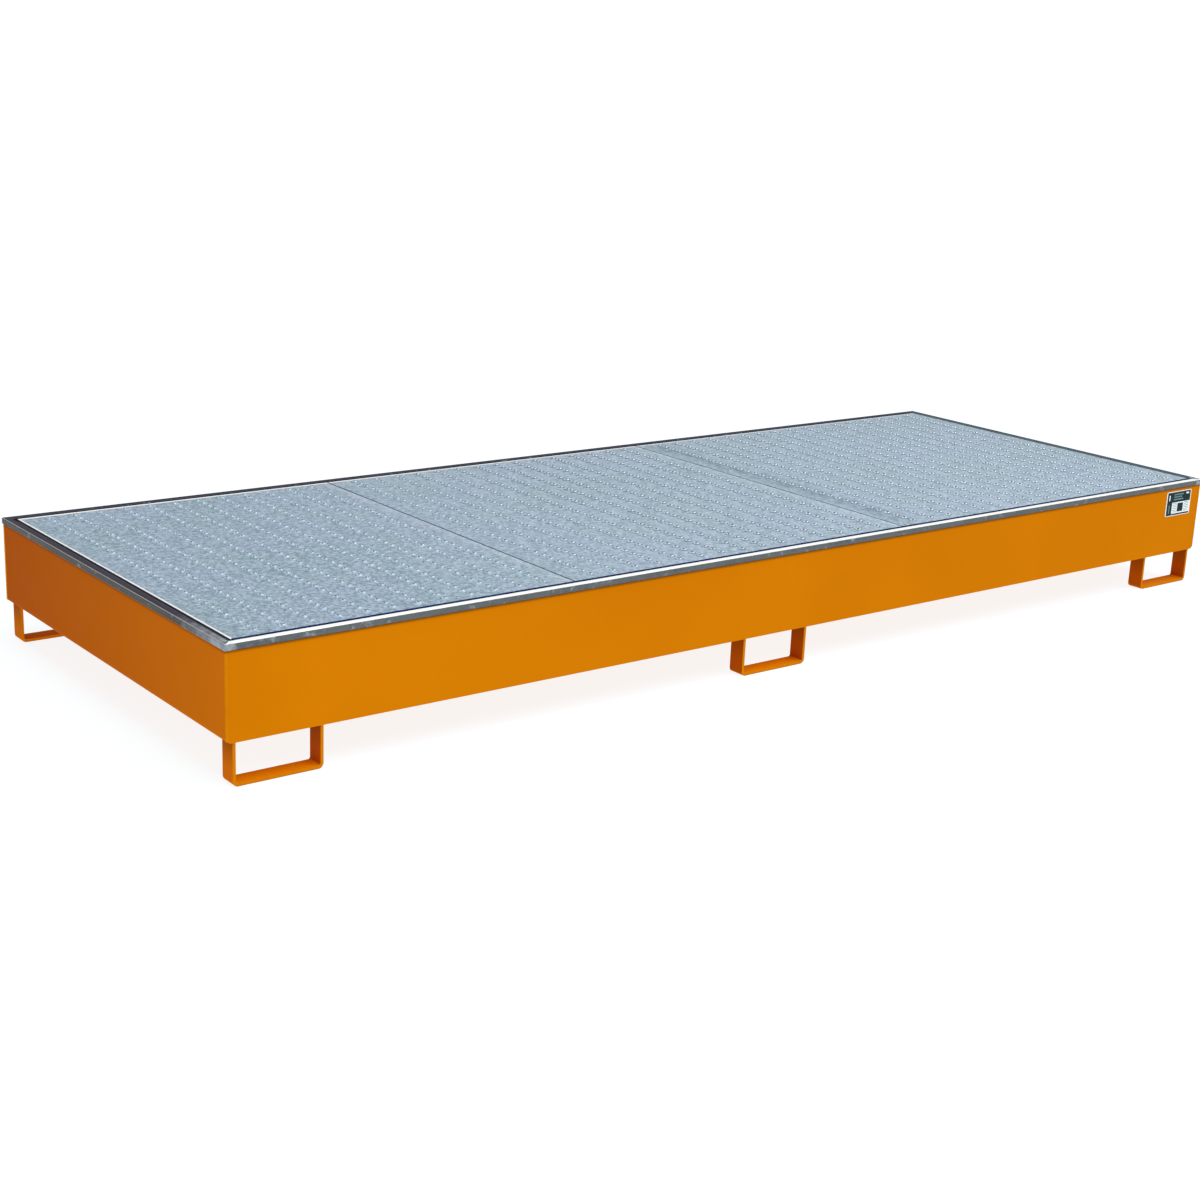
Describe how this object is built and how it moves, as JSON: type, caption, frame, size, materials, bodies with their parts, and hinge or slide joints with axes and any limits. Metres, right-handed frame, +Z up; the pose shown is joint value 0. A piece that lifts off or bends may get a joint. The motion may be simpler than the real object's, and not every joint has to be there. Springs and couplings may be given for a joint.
{
  "type": "spill tray with walk-on grating",
  "caption": "Low rectangular steel spill tray on bent-bar feet, with a galvanised rim and lift-out raised-hole deck panels flush with it.",
  "frame": {"origin": "on the ground, under the middle of the tray", "axes": "+X along the length towards the end with the rating plate, +Y towards the rear, +Z up"},
  "size_m": [3.556, 1.306, 0.345],
  "materials": {
    "orange_paint": "satin yellow-orange powder coat on sheet steel",
    "galvanised_rim": "bright galvanised square tube, ground at the corners",
    "galvanised_deck": "matt blue-grey hot-dip galvanised sheet with raised drain holes",
    "label": "printed label with blank fields, no lettering"
  },
  "bodies": {
    "tray": {"front_deck_ledge": "orange_paint", "front_left_foot": "orange_paint", "front_middle_foot": "orange_paint", "front_right_foot": "orange_paint", "front_rim_rail": "galvanised_rim", "front_wall": "orange_paint", "left_bearer": "orange_paint", "left_bearer_front_post": "orange_paint", "left_bearer_rear_post": "orange_paint", "left_deck_ledge": "orange_paint", "left_rim_rail": "galvanised_rim", "rating_plate": "label", "rear_deck_ledge": "orange_paint", "rear_left_foot": "orange_paint", "rear_middle_foot": "orange_paint", "rear_right_foot": "orange_paint", "rear_rim_rail": "galvanised_rim", "rear_wall": "orange_paint", "right_bearer": "orange_paint", "right_bearer_front_post": "orange_paint", "right_bearer_rear_post": "orange_paint", "right_deck_ledge": "orange_paint", "right_rim_rail": "galvanised_rim", "tub_floor_and_ends": "orange_paint"},
    "left_deck_panel": {"left_deck_rib_1": "galvanised_deck", "left_deck_rib_2": "galvanised_deck", "left_deck_sheet": "galvanised_deck"},
    "middle_deck_panel": {"middle_deck_rib_1": "galvanised_deck", "middle_deck_rib_2": "galvanised_deck", "middle_deck_rib_3": "galvanised_deck", "middle_deck_sheet": "galvanised_deck"},
    "right_deck_panel": {"right_deck_rib_1": "galvanised_deck", "right_deck_rib_2": "galvanised_deck", "right_deck_rib_3": "galvanised_deck", "right_deck_sheet": "galvanised_deck"}
  },
  "joints": [
    {"name": "left_panel_lift", "type": "slide", "parent": "tray", "child": "left_deck_panel", "axis": [0, 0, 1], "range_m": [0, 0.3]},
    {"name": "middle_panel_lift", "type": "slide", "parent": "tray", "child": "middle_deck_panel", "axis": [0, 0, 1], "range_m": [0, 0.3]},
    {"name": "right_panel_lift", "type": "slide", "parent": "tray", "child": "right_deck_panel", "axis": [0, 0, 1], "range_m": [0, 0.3]}
  ]
}
